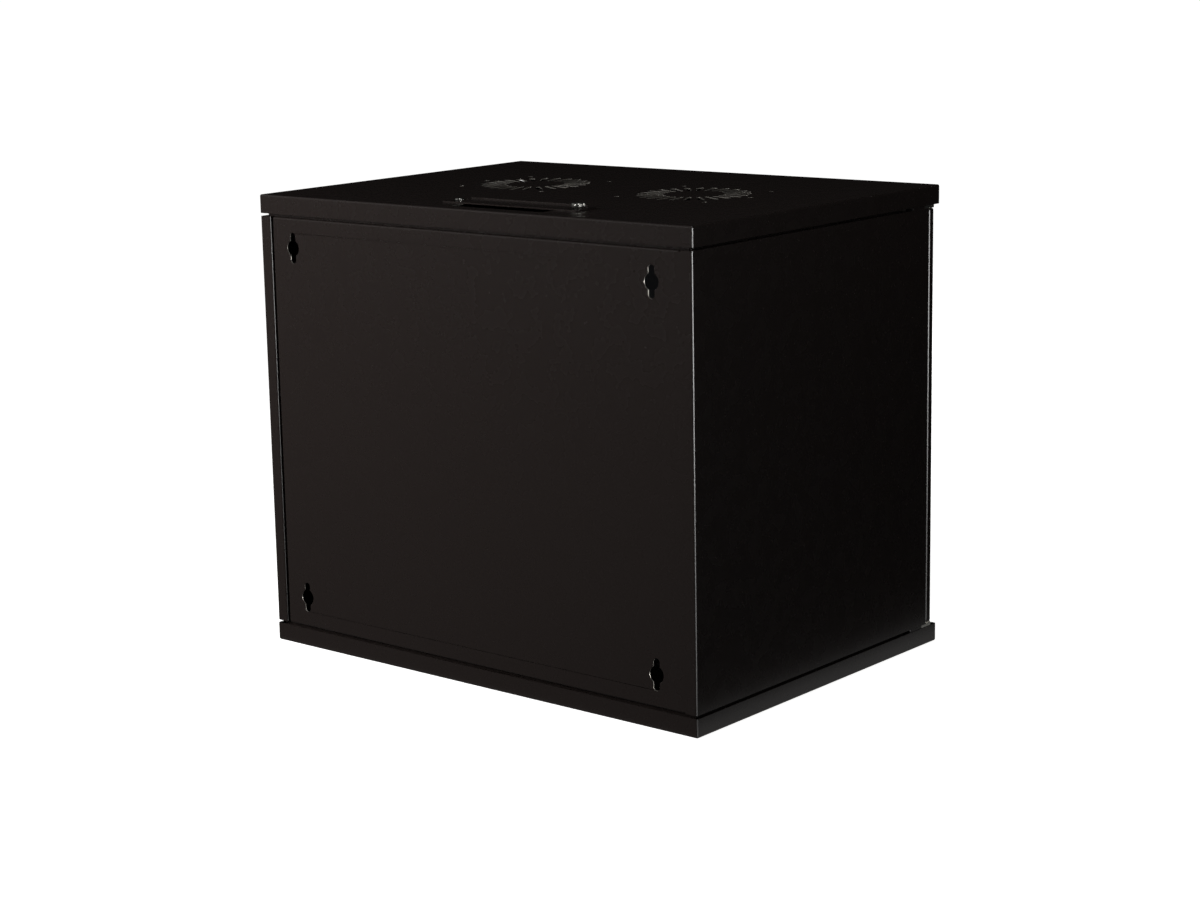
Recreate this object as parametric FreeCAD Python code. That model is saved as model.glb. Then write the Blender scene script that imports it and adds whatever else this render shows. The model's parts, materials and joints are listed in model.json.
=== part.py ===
import FreeCAD, Part
import math
import os

# Wall mount network cabinet, nine rack units high, 540 mm wide, for 19-inch equipment.
# Millimetres. The origin is under the middle of the base, +Z is up, the door is at -Y,
# the wall side is at +Y. The door hangs on the -X side and its lock is on the +X side.

# ---- overall size ----
WIDTH = 540.0
DEPTH = 394.0
HEIGHT = 458.0
SHEET = 1.2                      # steel sheet of covers, panels and door
BEND = 0.6                       # inside radius of a folded edge

# ---- covers: shallow trays over the top and under the base ----
COVER_RIM = 18.5                 # height of a cover's skirt
COVER_EDGE = 1.8                 # rounding of a cover's outer edges
SEAM_WIDTH = 0.5                 # line at each corner where two sides of a skirt meet
SEAM_DEPTH = 0.6
SEAM_DROP = 8.0                  # above the seam the corner is welded and ground smooth
SHADOW_GAP = 3.0                 # open line between a cover's skirt and the panels
PANEL_TOP = HEIGHT - COVER_RIM - SHADOW_GAP
PANEL_BOTTOM = COVER_RIM - 0.5 + SHADOW_GAP
LOWER_RIM = COVER_RIM - 0.5      # the base tray is half a millimetre shallower

# ---- body ----
SIDE_X = WIDTH / 2 - 0.5         # outer face of the side panels
FRONT_Y = -179.5                 # front face of the side panels' flanges
REAR_Y = DEPTH / 2               # outer face of the rear panel
NUT_SPACE = 4.8                  # a weld nut fills the space between a skirt and a lip
LIP_X = WIDTH / 2 - SHEET - NUT_SPACE
LIP_Y = REAR_Y - SHEET - NUT_SPACE
REAR_FLANGE = 13.8               # side panel's strip that shows beside the rear panel
REAR_GROOVE = 3.2                # open line between the rear panel and the +X strip
REAR_JOINT = 0.3                 # the rear panel lies close against the -X strip
FRONT_FLANGE = 24.5
FRONT_RETURN = 11.5
HINGE_SEAT_END = -146.0          # the side panels' lips stop here, behind the hinge plate
PAN_X0 = -(SIDE_X - REAR_FLANGE - REAR_JOINT)
PAN_X1 = SIDE_X - REAR_FLANGE - REAR_GROOVE

# ---- wall fixing keyholes in the rear panel ----
KEYHOLE_X = 224.5
KEYHOLE_PITCH_Z = 355.6          # eight rack units
KEYHOLE_MID_Z = 229.2
KEYHOLE_R = 8.0
KEYHOLE_SLOT_R = 3.5
KEYHOLE_REACH = 15.2             # from the middle to each slot's end

# ---- ventilation and cable entry pattern of both covers ----
PATTERN_X = -12.0                # the pressing's pattern sits this far off the middle
VENT_Y = -12.0
VENT_PITCH = 200.0
VENT_SLOTS = 24
VENT_INNER = 29.0                # radial slots run from this radius ...
VENT_OUTER = 55.5                # ... to this one
SLOT_INNER_R = 1.7
SLOT_OUTER_R = 3.2
FAN_PITCH = 105.0                # screw square of a 120 mm fan
FAN_HOLE_R = 2.25
SIDE_HOLE_OFFSET = 166.0
SIDE_HOLE_R = 2.6
ENTRY_X = -28.0
ENTRY_HALF = 57.0
ENTRY_Y0 = 150.0
ENTRY_Y1 = 179.0

# ---- cable entry cover ----
PLATE_HALF = 84.0
PLATE_Y0 = 131.0
PLATE_Y1 = 161.0
PLATE_CORNER = 3.0
GRIP_END = 12.0                  # from the plate's end to the grip's end
GRIP_RISE = 1.5                  # height of the grip above the plate
PLATE_SCREW_OFFSET = 73.5
PLATE_SCREW_Y = 147.0
PLATE_SLOT_HALF = 8.5            # half of a guide slot, between its end centres
PLATE_SLOT_R = 2.7

# ---- screws and nuts ----
M5_R = 2.5
M5_HEAD_R = 4.4
M5_HEAD_T = 2.6
M5_NUT = 8.0                     # across the flats
M6_NUT = 10.0                    # across the flats
M6_NUT_T = 5.0
INTO_HEAD = 0.5                  # a shank starts this far inside its head
THUMB_R = 6.5
THUMB_T = 4.2
THUMB_COLLAR_R = 4.2
THUMB_COLLAR_T = 1.0
THUMB_FLUTES = 10
THUMB_FLUTE_R = 1.2
LIP_SCREW_Y = (-110.0, 20.0, 150.0)
LIP_SCREW_X = (-180.0, 0.0, 180.0)
STRIP_SCREW_Z = (90.0, 229.0, 368.0)

# ---- 19-inch rack geometry ----
RACK_UNIT = 44.45
RACK_UNITS = 9
RACK_HOLE_X = 465.1 / 2
RACK_OPENING_X = 450.0 / 2
RACK_HOLE = 9.5
RACK_HOLE_STEPS = (6.35, 22.225, 38.1)
RACK_Z0 = (HEIGHT - RACK_UNITS * RACK_UNIT) / 2
RAIL_FACE_Y = -150.0
RAIL_DEPTH = 40.0
RAIL_X = 249.0
RAIL_SHEET = 2.0
RAIL_Z0 = 26.0
RAIL_Z1 = 432.0
RAIL_BOLT_Y = RAIL_FACE_Y + 22.0

# ---- depth rails: slotted hat sections on the side panels ----
DEPTH_RAIL_Z = (62.0, 396.0)
DEPTH_RAIL_Y0 = -160.0
DEPTH_RAIL_Y1 = 176.0
DEPTH_RAIL_SHEET = 1.5
DEPTH_RAIL_GAP = 0.1             # sliding clearance to the mounting rail
DEPTH_RAIL_WEB = 32.0
DEPTH_RAIL_FOOT = 12.0
RAIL_TRAVEL = 185.0
M6_R = 3.0

# ---- front headers ----
HEADER_Z = 430.0
HEADER_DEPTH = 15.0

# ---- door ----
DOOR_X = 268.5
DOOR_Z0 = 21.6
DOOR_Z1 = 435.9
DOOR_FRONT = -189.4
DOOR_BACK = -181.4
DOOR_EDGE = 2.0
DOOR_RETURN = 12.0
WINDOW_X = 205.0
WINDOW_Z0 = 52.0
WINDOW_Z1 = 405.5
WINDOW_R = 6.0
GLASS_OVERLAP = 9.0
GLASS_T = 4.0
GASKET_T = 1.0
GASKET_W = 7.0
CLIP_Z = (95.0, 170.0, 290.0, 365.0)
CLIP_T = 1.0
CLIP_WIDTH = 18.0
CLIP_FOOT = 14.0                 # how far a clip's foot reaches outwards from the glass
CLIP_HOLD = 7.0                  # how far it laps over the glass
BUFFER_X = 261.0
BUFFER_Z = (70.0, 388.0)
BUFFER_R = 5.0

# ---- hinges ----
PIVOT_X = -264.5
PIVOT_Y = -185.5
HINGE_T = 2.9
HINGE_EAR_R = 5.2
HINGE_INNER_X = -241.0
HINGE_SCREWS = ((-259.0, -161.0), (-248.0, -161.0))
UPPER_PIN_R = 2.0
LOWER_PIN_R = 2.5
RUNNING = 0.05                   # radial clearance of a running fit
PIN_HANDLE_Z = 368.0
PIN_TOP_Z = PANEL_TOP + HINGE_T + 1.2
SPRING_Z0 = 381.2
SPRING_Z1 = 405.0
COLLAR_T = 1.5
COLLAR_R = 2.6
SPRING_WIRE = 0.5               # the spring is wound from square wire
SPRING_TURNS = 6

# ---- lock ----
LOCK_X = 233.0
LOCK_Z = 229.0
LOCK_R = 9.5
LOCK_FLANGE = 2.0                # the lock's rim stands out this far, sideways and forwards
LOCK_NUT = 23.0                  # across the flats
PLUG_R = 6.0
CAM_REACH = 28.0
CAM_Y = -176.4
CAM_T = 1.8
CAM_HALF = 6.5
CAM_BOSS_R = 8.0

# ---- earth point, on the right side panel ----
EARTH_Y = 150.0
EARTH_Z = 140.0
EARTH_PLATE_R = 7.0
EARTH_REACH = 20.0
EARTH_NUT_STEPS = (6.0, 12.0)    # each nut's start, measured inwards from the panel

V = FreeCAD.Vector
X_AXIS = V(1, 0, 0)
Y_AXIS = V(0, 1, 0)
Z_AXIS = V(0, 0, 1)


def box(x0, x1, y0, y1, z0, z1):
    return Part.makeBox(x1 - x0, y1 - y0, z1 - z0, V(x0, y0, z0))


def rod(radius, start, axis, length):
    return Part.makeCylinder(radius, length, start, axis)


def fuse(shapes):
    whole = shapes[0]
    if len(shapes) > 1:
        whole = whole.multiFuse(shapes[1:])
    return whole.removeSplitter()


def group(shapes):
    return Part.makeCompound(shapes)


def mirrored(shape):
    """The same piece for the other side of the cabinet."""
    return shape.mirror(V(0, 0, 0), X_AXIS)


def turned_over(shape):
    """A piece of the top turned half a turn about the Y axis, to serve under the base."""
    turned = shape.copy()
    turned.rotate(V(0, 0, HEIGHT / 2), Y_AXIS, 180)
    return turned


def hexagon(across_flats, start, axis, length, turn=0.0):
    """A hexagonal prism along an axis, for nuts and bolt heads."""
    corner = across_flats / math.sqrt(3)
    flat = [V(corner * math.cos(math.radians(60 * i + turn)),
              corner * math.sin(math.radians(60 * i + turn)), 0) for i in range(7)]
    prism = Part.Face(Part.makePolygon(flat)).extrude(V(0, 0, length))
    prism.Placement = FreeCAD.Placement(start, FreeCAD.Rotation(Z_AXIS, axis))
    return prism


def round_edges(points, radii):
    """Straight edges through the points, with a tangent arc at each inner point."""
    edges = []
    start = points[0]
    for before, corner, after, radius in zip(points, points[1:], points[2:], radii):
        back = (before - corner).normalize()
        ahead = (after - corner).normalize()
        half = back.getAngle(ahead) / 2
        reach = radius / math.tan(half)
        bisector = (back + ahead).normalize()
        arc_start = corner + back * reach
        arc_middle = corner + bisector * (radius / math.sin(half) - radius)
        arc_end = corner + ahead * reach
        edges.append(Part.LineSegment(start, arc_start).toShape())
        edges.append(Part.Arc(arc_start, arc_middle, arc_end).toShape())
        start = arc_end
    edges.append(Part.LineSegment(start, points[-1]).toShape())
    return edges


def folded(outline, place, along, sheet=SHEET, bend=BEND):
    """A folded sheet: an open outline with the sheet on its left, extruded along a vector.

    The outline is a list of flat (a, b) pairs, and place turns a pair into a point."""
    flat = [V(a, b, 0) for a, b in outline]
    ways = [(q - p).normalize() for p, q in zip(flat, flat[1:])]
    lefts = [V(-way.y, way.x, 0) for way in ways]
    inner = [flat[0] + lefts[0] * sheet]
    outer_radii = []
    inner_radii = []
    for corner, left, next_left, way in zip(flat[1:], lefts, lefts[1:], ways):
        inner.append(corner + (left + next_left) * (sheet / (1 + left.dot(next_left))))
        turns_left = way.dot(next_left) < 0
        outer_radii.append(bend + sheet if turns_left else bend)
        inner_radii.append(bend if turns_left else bend + sheet)
    inner.append(flat[-1] + lefts[-1] * sheet)
    outer_side = [place(p.x, p.y) for p in flat]
    inner_side = [place(p.x, p.y) for p in inner]
    edges = round_edges(outer_side, outer_radii)
    edges.append(Part.LineSegment(outer_side[-1], inner_side[-1]).toShape())
    edges += round_edges(inner_side[::-1], inner_radii[::-1])
    edges.append(Part.LineSegment(inner_side[0], outer_side[0]).toShape())
    return Part.Face(Part.Wire(edges)).extrude(along)


def slot_tool(x, y0, y1, radius, z0, z1):
    """A round-ended slot along Y."""
    return fuse([rod(radius, V(x, y0, z0), Z_AXIS, z1 - z0),
                 rod(radius, V(x, y1, z0), Z_AXIS, z1 - z0),
                 box(x - radius, x + radius, y0, y1, z0, z1)])


# ---------------------------------------------------------------- covers

def vent_slot_face(centre, angle, z):
    """One radial slot of a vent: a drop that widens outwards, with round ends."""
    lean = math.asin((SLOT_OUTER_R - SLOT_INNER_R) /
                     (VENT_OUTER - SLOT_OUTER_R - VENT_INNER - SLOT_INNER_R))
    near = VENT_INNER + SLOT_INNER_R
    far = VENT_OUTER - SLOT_OUTER_R
    side = V(-math.sin(lean), math.cos(lean), 0)
    lower = V(side.x, -side.y, 0)
    a = V(near, 0, 0) + side * SLOT_INNER_R
    b = V(far, 0, 0) + side * SLOT_OUTER_R
    c = V(far, 0, 0) + lower * SLOT_OUTER_R
    d = V(near, 0, 0) + lower * SLOT_INNER_R
    edges = [Part.LineSegment(a, b).toShape(),
             Part.Arc(b, V(VENT_OUTER, 0, 0), c).toShape(),
             Part.LineSegment(c, d).toShape(),
             Part.Arc(d, V(VENT_INNER, 0, 0), a).toShape()]
    face = Part.Face(Part.Wire(edges))
    face.rotate(V(0, 0, 0), Z_AXIS, angle)
    face.translate(V(centre.x, centre.y, z))
    return face


def cover_cutters():
    """Everything punched through a cover: two fan vents, their screw holes, the cable entry."""
    z0 = HEIGHT - SHEET - 1
    through = V(0, 0, SHEET + 2)
    cutters = []
    for sign in (-1, 1):
        centre = V(PATTERN_X + sign * VENT_PITCH / 2, VENT_Y, 0)
        for i in range(VENT_SLOTS):
            angle = 360.0 * i / VENT_SLOTS
            cutters.append(vent_slot_face(centre, angle, z0).extrude(through))
        for dx in (-FAN_PITCH / 2, FAN_PITCH / 2):
            for dy in (-FAN_PITCH / 2, FAN_PITCH / 2):
                foot = V(centre.x + dx, centre.y + dy, z0)
                cutters.append(rod(FAN_HOLE_R, foot, Z_AXIS, through.z))
        side_hole = V(PATTERN_X + sign * SIDE_HOLE_OFFSET, VENT_Y, z0)
        cutters.append(rod(SIDE_HOLE_R, side_hole, Z_AXIS, through.z))
        screw_hole = V(ENTRY_X + sign * PLATE_SCREW_OFFSET, PLATE_SCREW_Y, z0)
        cutters.append(rod(M5_R, screw_hole, Z_AXIS, through.z))
    entry = box(ENTRY_X - ENTRY_HALF, ENTRY_X + ENTRY_HALF, ENTRY_Y0, ENTRY_Y1, z0, z0 + through.z)
    upright = [edge for edge in entry.Edges if abs(edge.tangentAt(0).z) > 0.9]
    cutters.append(entry.makeFillet(4.0, upright))
    return cutters


def corner_seam(sign_x, sign_y, rim):
    """The line where two sides of a skirt meet at a corner, open towards the rim."""
    seam = box(COVER_EDGE - SEAM_DEPTH, COVER_EDGE + 1, -SEAM_WIDTH / 2, SEAM_WIDTH / 2,
               HEIGHT - rim - 1, HEIGHT - SEAM_DROP)
    seam.rotate(V(0, 0, 0), Z_AXIS, math.degrees(math.atan2(sign_y, sign_x)))
    seam.translate(V(sign_x * (WIDTH / 2 - COVER_EDGE), sign_y * (DEPTH / 2 - COVER_EDGE), 0))
    return seam


def tray(rim):
    """A cover: a shallow tray with rounded outer edges, open downwards."""
    outer = box(-WIDTH / 2, WIDTH / 2, -DEPTH / 2, DEPTH / 2, HEIGHT - rim, HEIGHT)
    rounded = [edge for edge in outer.Edges
               if abs(edge.tangentAt(0).z) > 0.9 or edge.CenterOfMass.z > HEIGHT - 0.1]
    outer = outer.makeFillet(COVER_EDGE, rounded)
    inner = box(-WIDTH / 2 + SHEET, WIDTH / 2 - SHEET, -DEPTH / 2 + SHEET, DEPTH / 2 - SHEET,
                HEIGHT - rim - 1, HEIGHT - SHEET)
    upright = [edge for edge in inner.Edges if abs(edge.tangentAt(0).z) > 0.9]
    inner = inner.makeFillet(BEND, upright)
    seams = [corner_seam(x, y, rim) for x in (-1, 1) for y in (-1, 1)]
    return outer.cut([inner] + cover_cutters() + seams)


def cable_plate():
    """The sliding plate over the cable entry, with a folded-up grip along its front edge."""
    z0 = HEIGHT
    x0 = ENTRY_X - PLATE_HALF
    x1 = ENTRY_X + PLATE_HALF
    plate = box(x0, x1, PLATE_Y0, PLATE_Y1, z0, z0 + SHEET)
    upright = [edge for edge in plate.Edges if abs(edge.tangentAt(0).z) > 0.9]
    plate = plate.makeFillet(PLATE_CORNER, upright)
    grip = box(x0 + GRIP_END, x1 - GRIP_END, PLATE_Y0, PLATE_Y0 + SHEET, z0, z0 + SHEET + GRIP_RISE)
    plate = plate.fuse(grip).removeSplitter()
    slots = []
    for sign in (-1, 1):
        x = ENTRY_X + sign * PLATE_SCREW_OFFSET
        slots.append(slot_tool(x, PLATE_SCREW_Y - PLATE_SLOT_HALF, PLATE_SCREW_Y + PLATE_SLOT_HALF,
                               PLATE_SLOT_R, z0 - 1, z0 + SHEET + 1))
    return plate.cut(slots)


def thumbscrew(x, y, z):
    """A bright thumbscrew: fluted head, shoulder and shank through the cover's tapped hole."""
    head = rod(THUMB_R, V(x, y, z + THUMB_COLLAR_T), Z_AXIS, THUMB_T)
    rims = [edge for edge in head.Edges if isinstance(edge.Curve, Part.Circle)]
    head = head.makeChamfer(0.8, rims)
    flutes = []
    flute_ring = THUMB_R + THUMB_FLUTE_R / 2
    for i in range(THUMB_FLUTES):
        turn = math.radians(360 * i / THUMB_FLUTES)
        foot = V(x + flute_ring * math.cos(turn), y + flute_ring * math.sin(turn), z)
        flutes.append(rod(THUMB_FLUTE_R, foot, Z_AXIS, THUMB_COLLAR_T + THUMB_T + 1))
    head = head.cut(flutes)
    collar = rod(THUMB_COLLAR_R, V(x, y, z), Z_AXIS, THUMB_COLLAR_T + 0.2)
    shank = rod(M5_R, V(x, y, z - 10), Z_AXIS, 10 + INTO_HEAD)
    return fuse([head, collar, shank])


def pan_screw(x, y, z, length=9.0):
    """A low pan-head screw, head upwards on the height z."""
    head = rod(M5_HEAD_R, V(x, y, z), Z_AXIS, 2.0)
    rim = [edge for edge in head.Edges
           if isinstance(edge.Curve, Part.Circle) and edge.CenterOfMass.z > z + 1.9]
    head = head.makeChamfer(0.9, rim)
    shank = rod(M5_R, V(x, y, z - length), Z_AXIS, length + INTO_HEAD)
    return fuse([head, shank])


def make_covers():
    top = tray(COVER_RIM)
    base = turned_over(tray(LOWER_RIM))
    plate = cable_plate()
    screw_z = HEIGHT + SHEET
    guide_x = ENTRY_X + PLATE_SCREW_OFFSET
    thumb_x = ENTRY_X - PLATE_SCREW_OFFSET
    lower_plate = plate.copy()
    lower_plate.translate(V(0, 0, -HEIGHT + SHEET))
    lower_plate = mirrored(lower_plate)
    lower_screws = [pan_screw(-x, PLATE_SCREW_Y, 2 * SHEET, length=2 * SHEET - 0.2)
                    for x in (guide_x, thumb_x)]
    return {"top_cover": top,
            "bottom_cover": base,
            "cable_cover_top": plate,
            "cable_cover_thumbscrew": thumbscrew(thumb_x, PLATE_SCREW_Y, screw_z),
            "cable_cover_guide_screw": pan_screw(guide_x, PLATE_SCREW_Y, screw_z),
            "cable_cover_bottom": lower_plate,
            "cable_cover_screws_bottom": group(lower_screws)}


# ---------------------------------------------------------------- body

def side_panel():
    """The +X side panel: one sheet with a rear strip, a front flange and top and bottom lips."""
    height = PANEL_TOP - PANEL_BOTTOM
    strip_x = SIDE_X - REAR_FLANGE
    flange_x = SIDE_X - FRONT_FLANGE
    plan = [(flange_x, FRONT_Y + FRONT_RETURN), (flange_x, FRONT_Y), (SIDE_X, FRONT_Y),
            (SIDE_X, REAR_Y), (strip_x, REAR_Y), (strip_x, LIP_Y)]
    wall = folded(plan, lambda a, b: V(a, b, PANEL_BOTTOM), V(0, 0, height))
    lip_length = LIP_Y - HINGE_SEAT_END
    upper = folded([(SIDE_X, PANEL_TOP - 20), (SIDE_X, PANEL_TOP), (LIP_X, PANEL_TOP),
                    (LIP_X, HEIGHT - SHEET)],
                   lambda a, b: V(a, HINGE_SEAT_END, b), V(0, lip_length, 0))
    lower = folded([(LIP_X, SHEET), (LIP_X, PANEL_BOTTOM), (SIDE_X, PANEL_BOTTOM),
                    (SIDE_X, PANEL_BOTTOM + 20)],
                   lambda a, b: V(a, HINGE_SEAT_END, b), V(0, lip_length, 0))
    seats = [box(-HINGE_INNER_X, SIDE_X - SHEET, FRONT_Y + SHEET, HINGE_SEAT_END, z, z + SHEET)
             for z in (PANEL_BOTTOM, PANEL_TOP - SHEET)]
    return fuse([wall, upper, lower] + seats)


def lip_screw_places():
    """Where screws tie the lips to the covers' skirts: (x, y, direction into the skirt)."""
    places = []
    for sign in (-1, 1):
        for y in LIP_SCREW_Y:
            places.append((sign * LIP_X, y, V(sign, 0, 0)))
    for x in LIP_SCREW_X:
        places.append((x, LIP_Y, Y_AXIS))
    return places


def skirt_fasteners(z):
    """M5 screws from inside through the lips, and the weld nuts on the skirt that take them."""
    screws = []
    nuts = []
    for x, y, out in lip_screw_places():
        face = V(x, y, z)
        inside = face - out * SHEET
        head = rod(M5_HEAD_R, inside - out * M5_HEAD_T, out, M5_HEAD_T)
        shank = rod(M5_R - 0.1, inside - out * INTO_HEAD, out, SHEET + NUT_SPACE + 0.3)
        screws.append(fuse([head, shank]))
        nut = hexagon(M5_NUT, face, out, NUT_SPACE, 30)
        nuts.append(nut.cut(rod(M5_R, face - out, out, NUT_SPACE + 2)))
    return group(screws), group(nuts)


def lip_holes(z):
    return [rod(M5_R + 0.3, V(x, y, z) - out * 4, out, 6) for x, y, out in lip_screw_places()]


def strip_screw_places():
    """Where the rear panel's side lips are screwed to the side panels' rear strips."""
    x = SIDE_X - REAR_FLANGE / 2 + 0.2
    return [(sign * x, z) for sign in (-1, 1) for z in STRIP_SCREW_Z]


def keyhole(x, z):
    """A wall keyhole: a round entry hole with a hanging slot above and below."""
    y0 = REAR_Y - SHEET - 1
    length = SHEET + 2
    reach = KEYHOLE_REACH - KEYHOLE_SLOT_R
    return fuse([rod(KEYHOLE_R, V(x, y0, z), Y_AXIS, length),
                 rod(KEYHOLE_SLOT_R, V(x, y0, z + reach), Y_AXIS, length),
                 rod(KEYHOLE_SLOT_R, V(x, y0, z - reach), Y_AXIS, length),
                 box(x - KEYHOLE_SLOT_R, x + KEYHOLE_SLOT_R, y0, y0 + length, z - reach, z + reach)])


def rear_panel():
    """The rear panel: a pan pressed out flush with the side strips, on a flat lip all round."""
    lip_half = LIP_X - SHEET - 0.8
    lip = box(-lip_half, lip_half, LIP_Y - SHEET, LIP_Y, SHEET, HEIGHT - SHEET)
    pan = box(PAN_X0, PAN_X1, LIP_Y - SHEET, REAR_Y, PANEL_BOTTOM, PANEL_TOP)
    rounded = [edge for edge in pan.Edges
               if edge.CenterOfMass.y > REAR_Y - 0.1 or abs(edge.tangentAt(0).y) > 0.9]
    pan = pan.makeFillet(BEND + SHEET, rounded)
    hollow = box(PAN_X0 + SHEET, PAN_X1 - SHEET, LIP_Y - SHEET - 1, REAR_Y - SHEET,
                 PANEL_BOTTOM + SHEET, PANEL_TOP - SHEET)
    inner = [edge for edge in hollow.Edges
             if edge.CenterOfMass.y > REAR_Y - SHEET - 0.1 or abs(edge.tangentAt(0).y) > 0.9]
    hollow = hollow.makeFillet(BEND, inner)
    body = fuse([lip, pan]).cut(hollow)
    cutters = [keyhole(sx * KEYHOLE_X, KEYHOLE_MID_Z + sz * KEYHOLE_PITCH_Z / 2)
               for sx in (-1, 1) for sz in (-1, 1)]
    cutters += [rod(M5_R + 0.3, V(x, LIP_Y - 4, z), Y_AXIS, 6) for x, z in strip_screw_places()]
    return body.cut(cutters)


def strip_fasteners():
    screws = []
    nuts = []
    for x, z in strip_screw_places():
        inside = V(x, LIP_Y - SHEET, z)
        head = rod(M5_HEAD_R, inside - Y_AXIS * M5_HEAD_T, Y_AXIS, M5_HEAD_T)
        shank = rod(M5_R - 0.1, inside - Y_AXIS * INTO_HEAD, Y_AXIS, SHEET + NUT_SPACE + 0.3)
        screws.append(fuse([head, shank]))
        start = V(x, LIP_Y, z)
        nut = hexagon(M5_NUT, start, Y_AXIS, NUT_SPACE, 30)
        nuts.append(nut.cut(rod(M5_R, start - Y_AXIS, Y_AXIS, NUT_SPACE + 2)))
    return group(screws), group(nuts)


def front_header():
    """The folded rail across the front, between the side panels' front flanges."""
    half = SIDE_X - FRONT_FLANGE
    outline = [(FRONT_Y + HEADER_DEPTH, HEADER_Z), (FRONT_Y, HEADER_Z),
               (FRONT_Y, HEIGHT - SHEET), (FRONT_Y + HEADER_DEPTH, HEIGHT - SHEET)]
    return folded(outline[::-1], lambda a, b: V(-half, a, b), V(2 * half, 0, 0))


def depth_rail(z):
    """A hat section on the side panel's inner face, with a long slot for the rail bolts."""
    foot_x = SIDE_X - SHEET
    web_x = RAIL_X + DEPTH_RAIL_GAP
    half = DEPTH_RAIL_WEB / 2
    outline = [(foot_x - DEPTH_RAIL_SHEET, z - half - DEPTH_RAIL_FOOT),
               (foot_x - DEPTH_RAIL_SHEET, z - half), (web_x, z - half),
               (web_x, z + half), (foot_x - DEPTH_RAIL_SHEET, z + half),
               (foot_x - DEPTH_RAIL_SHEET, z + half + DEPTH_RAIL_FOOT)]
    hat = folded(outline[::-1], lambda a, b: V(a, DEPTH_RAIL_Y0, b),
                 V(0, DEPTH_RAIL_Y1 - DEPTH_RAIL_Y0, 0), DEPTH_RAIL_SHEET)
    slot_r = M6_R + 0.4
    y0 = RAIL_BOLT_Y - 2
    y1 = RAIL_BOLT_Y + RAIL_TRAVEL + 2
    x0 = web_x - 2
    slot = fuse([rod(slot_r, V(x0, y0, z), X_AXIS, 6), rod(slot_r, V(x0, y1, z), X_AXIS, 6),
                 box(x0, x0 + 6, y0, y1, z - slot_r, z + slot_r)])
    return hat.cut(slot)


def mounting_rail():
    """A 19-inch rail: an angle with three square holes to each rack unit."""
    angle = folded([(RAIL_X, RAIL_FACE_Y + RAIL_DEPTH), (RAIL_X, RAIL_FACE_Y),
                    (RACK_OPENING_X, RAIL_FACE_Y)][::-1],
                   lambda a, b: V(a, b, RAIL_Z0), V(0, 0, RAIL_Z1 - RAIL_Z0), RAIL_SHEET)
    half = RACK_HOLE / 2
    holes = []
    for unit in range(RACK_UNITS):
        for step in RACK_HOLE_STEPS:
            z = RACK_Z0 + unit * RACK_UNIT + step
            holes.append(box(RACK_HOLE_X - half, RACK_HOLE_X + half, RAIL_FACE_Y - 1,
                             RAIL_FACE_Y + RAIL_SHEET + 1, z - half, z + half))
    for z in DEPTH_RAIL_Z:
        holes.append(rod(M6_R + 0.2, V(RAIL_X - 6, RAIL_BOLT_Y, z), X_AXIS, 8))
    return angle.cut(holes)


def rail_fasteners():
    """M6 bolts through a mounting rail and its depth rails, and their nuts."""
    bolts = []
    nuts = []
    inner = RAIL_X - RAIL_SHEET
    nut_x = RAIL_X + 2 * DEPTH_RAIL_GAP + DEPTH_RAIL_SHEET
    for z in DEPTH_RAIL_Z:
        head = hexagon(M6_NUT, V(inner - 4, RAIL_BOLT_Y, z), X_AXIS, 4.0)
        shank = rod(M6_R, V(inner - INTO_HEAD, RAIL_BOLT_Y, z), X_AXIS, nut_x - inner + 7.0)
        bolts.append(fuse([head, shank]))
        start = V(nut_x, RAIL_BOLT_Y, z)
        nut = hexagon(M6_NUT, start, X_AXIS, M6_NUT_T)
        nuts.append(nut.cut(rod(M6_R, start - X_AXIS, X_AXIS, M6_NUT_T + 2)))
    return group(bolts), group(nuts)


def make_body():
    right = side_panel()
    left = mirrored(right)
    notch = box(SIDE_X - FRONT_FLANGE - 1, SIDE_X - FRONT_FLANGE + SHEET + BEND + 0.3,
                FRONT_Y + SHEET, FRONT_Y + FRONT_RETURN + 1, LOCK_Z - 34, LOCK_Z + 12)
    upper_z = PANEL_TOP + SHADOW_GAP + 8
    lower_z = LOWER_RIM - 8
    holes = lip_holes(upper_z) + lip_holes(lower_z)
    screw_holes = hinge_screw_holes()
    top_screws, top_nuts = skirt_fasteners(upper_z)
    base_screws, base_nuts = skirt_fasteners(lower_z)
    rear_screws, rear_nuts = strip_fasteners()
    bolts, nuts = rail_fasteners()
    rail = mounting_rail()
    header = front_header()
    pieces = {"side_panel_right": right.cut(holes + [notch]),
              "side_panel_left": left.cut(holes + screw_holes),
              "rear_panel": rear_panel().cut(holes),
              "front_header_top": header,
              "front_header_bottom": turned_over(header),
              "cover_screws_top": top_screws,
              "cover_screws_bottom": base_screws,
              "weld_nuts_top": top_nuts,
              "weld_nuts_bottom": base_nuts,
              "rear_panel_screws": rear_screws,
              "rear_panel_weld_nuts": rear_nuts,
              "mounting_rail_right": rail,
              "mounting_rail_left": mirrored(rail),
              "rail_bolts_right": bolts,
              "rail_bolts_left": mirrored(bolts),
              "rail_nuts_right": nuts,
              "rail_nuts_left": mirrored(nuts)}
    for name, z in zip(("lower", "upper"), DEPTH_RAIL_Z):
        pieces["depth_rail_right_" + name] = depth_rail(z)
        pieces["depth_rail_left_" + name] = mirrored(depth_rail(z))
    return pieces


# ---------------------------------------------------------------- hinges

def hinge_screw_holes():
    return [rod(M5_R + 0.2, V(x, y, z - 3), Z_AXIS, 8)
            for x, y in HINGE_SCREWS for z in (PANEL_BOTTOM, PANEL_TOP)]


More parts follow.
